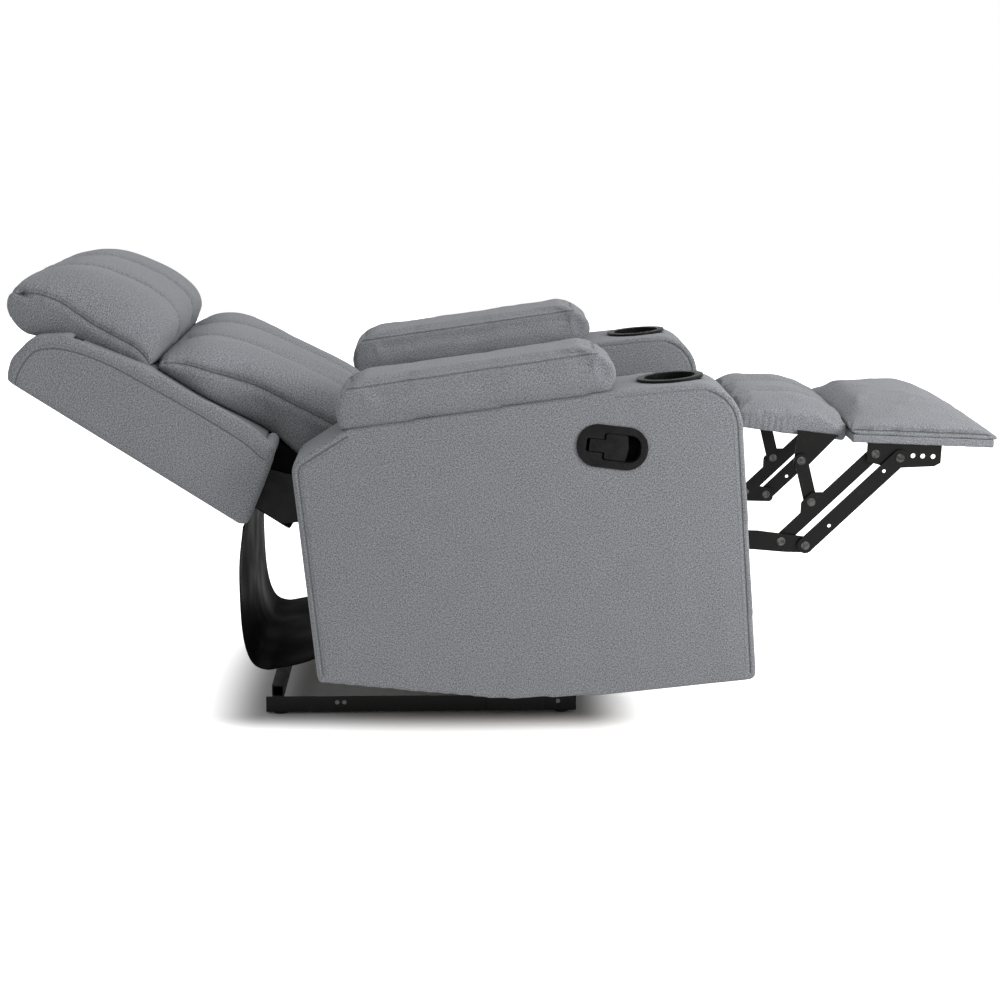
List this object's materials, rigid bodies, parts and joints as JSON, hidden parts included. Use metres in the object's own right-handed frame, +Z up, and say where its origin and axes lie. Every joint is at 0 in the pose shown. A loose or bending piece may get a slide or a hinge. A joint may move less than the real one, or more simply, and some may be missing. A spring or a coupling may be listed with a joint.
{
  "type": "recliner armchair",
  "caption": "Padded push-back recliner armchair with folding footrest and middle rest, reclining winged back, arm pads, cup holders and a release handle in one arm.",
  "frame": {"origin": "on the floor, under the middle of the chair as it stands reclined", "axes": "+Z up, the sitter faces -Y, +X to the sitter's left"},
  "size_m": [0.803, 1.6208, 0.7578],
  "materials": {
    "heather_grey_fabric": "woven heather, matte",
    "black_cloth": "smooth black lining cloth",
    "black_plastic": "satin black",
    "plywood": "unfinished plywood",
    "bright_steel": "zinc plated",
    "black_steel": "satin black powder coat"
  },
  "bodies": {
    "base": {"base_rail_right": "black_steel", "base_rail_left": "black_steel", "base_cross_tubes": "black_steel", "floor_glides": "black_plastic", "rocker_post_right": "black_steel", "rocker_post_left": "black_steel", "rocker_pins": "bright_steel"},
    "seat": {"arm_boards": "plywood", "arm_pad_left": "heather_grey_fabric", "arm_pad_right": "heather_grey_fabric", "arm_shell_left": "heather_grey_fabric", "arm_shell_right": "heather_grey_fabric", "back_pivot_pins": "bright_steel", "cup_holder_left": "black_plastic", "cup_holder_right": "black_plastic", "drive_pins": "bright_steel", "front_rail": "plywood", "latch_bezel": "black_plastic", "latch_pin": "bright_steel", "latch_spring": "bright_steel", "rear_cloth": "black_cloth", "rear_rail": "plywood", "seat_cross_tube": "black_steel", "seat_cushion": "heather_grey_fabric", "seat_springs": "bright_steel", "side_plate_left": "black_steel", "side_plate_right": "black_steel", "side_rails": "plywood"},
    "back": {"back_shell": "heather_grey_fabric", "back_deck": "plywood", "back_posts": "plywood", "back_bracket_right": "black_steel", "back_bracket_left": "black_steel", "wing_boards": "plywood", "back_rails": "plywood", "back_skirt": "black_cloth", "lumbar_cushion": "heather_grey_fabric", "head_pillow": "heather_grey_fabric"},
    "latch": {"latch_handle": "black_plastic"},
    "crank": {"crank_right": "black_steel", "crank_left": "black_steel", "drive_tube": "black_steel", "crank_rivets": "bright_steel"},
    "long_arms": {"long_arm_right": "black_steel", "long_arm_left": "black_steel", "long_arm_rivets": "bright_steel"},
    "short_arms": {"short_arm_right": "black_steel", "short_arm_left": "black_steel", "short_arm_rivets": "bright_steel"},
    "toggle_links": {"toggle_link_right": "black_steel", "toggle_link_left": "black_steel", "toggle_rivets": "bright_steel"},
    "footrest": {"footrest_board": "plywood", "footrest_cushion": "heather_grey_fabric", "footrest_bracket_right": "black_steel", "footrest_bracket_left": "black_steel"},
    "middle_rest": {"middle_board": "plywood", "middle_cushion": "heather_grey_fabric", "middle_bracket_right": "black_steel", "middle_bracket_left": "black_steel"}
  },
  "joints": [
    {"name": "seat_tilt", "type": "hinge", "parent": "base", "child": "seat", "pos_m": [0, -0.02336, 0.13], "axis": [1, 0, 0], "range_deg": [0, 6]},
    {"name": "back_recline", "type": "hinge", "parent": "seat", "child": "back", "pos_m": [0, 0.25951, 0.36271], "axis": [1, 0, 0], "range_deg": [0, 38]},
    {"name": "latch_handle", "type": "hinge", "parent": "seat", "child": "latch", "pos_m": [-0.3928, -0.1356, 0.48565], "axis": [0, 0.1219, -0.9925], "range_deg": [0, 25], "stiffness_Nm_per_rad": 0.6},
    {"name": "footrest_fold", "type": "hinge", "parent": "seat", "child": "crank", "pos_m": [0, -0.28678, 0.30248], "axis": [1, 0, 0], "range_deg": [0, 84.2]},
    {"name": "short_arm_turn", "type": "hinge", "parent": "crank", "child": "short_arms", "pos_m": [0, -0.45927, 0.29404], "axis": [1, 0, 0], "range_deg": [-116.08, 0]},
    {"name": "long_arm_turn", "type": "hinge", "parent": "crank", "child": "long_arms", "pos_m": [0, -0.49881, 0.2878], "axis": [1, 0, 0], "range_deg": [-116.08, 0]},
    {"name": "footrest_turn", "type": "hinge", "parent": "short_arms", "child": "footrest", "pos_m": [0, -0.61099, 0.43923], "axis": [1, 0, 0], "range_deg": [0, 116.08]},
    {"name": "toggle_turn", "type": "hinge", "parent": "short_arms", "child": "toggle_links", "pos_m": [0, -0.50828, 0.35825], "axis": [1, 0, 0], "range_deg": [0, 13.68]},
    {"name": "middle_rest_turn", "type": "hinge", "parent": "toggle_links", "child": "middle_rest", "pos_m": [0, -0.49128, 0.42625], "axis": [1, 0, 0], "range_deg": [0, 94.91]}
  ],
  "couplings": [
    {"joint": "seat_tilt", "follows": "back_recline", "ratio": 0.1579},
    {"joint": "short_arm_turn", "follows": "footrest_fold", "ratio": -1.3785},
    {"joint": "long_arm_turn", "follows": "footrest_fold", "ratio": -1.3785},
    {"joint": "footrest_turn", "follows": "footrest_fold", "ratio": 1.3785},
    {"joint": "toggle_turn", "follows": "footrest_fold", "ratio": 0.16235},
    {"joint": "middle_rest_turn", "follows": "footrest_fold", "ratio": 1.1271}
  ]
}
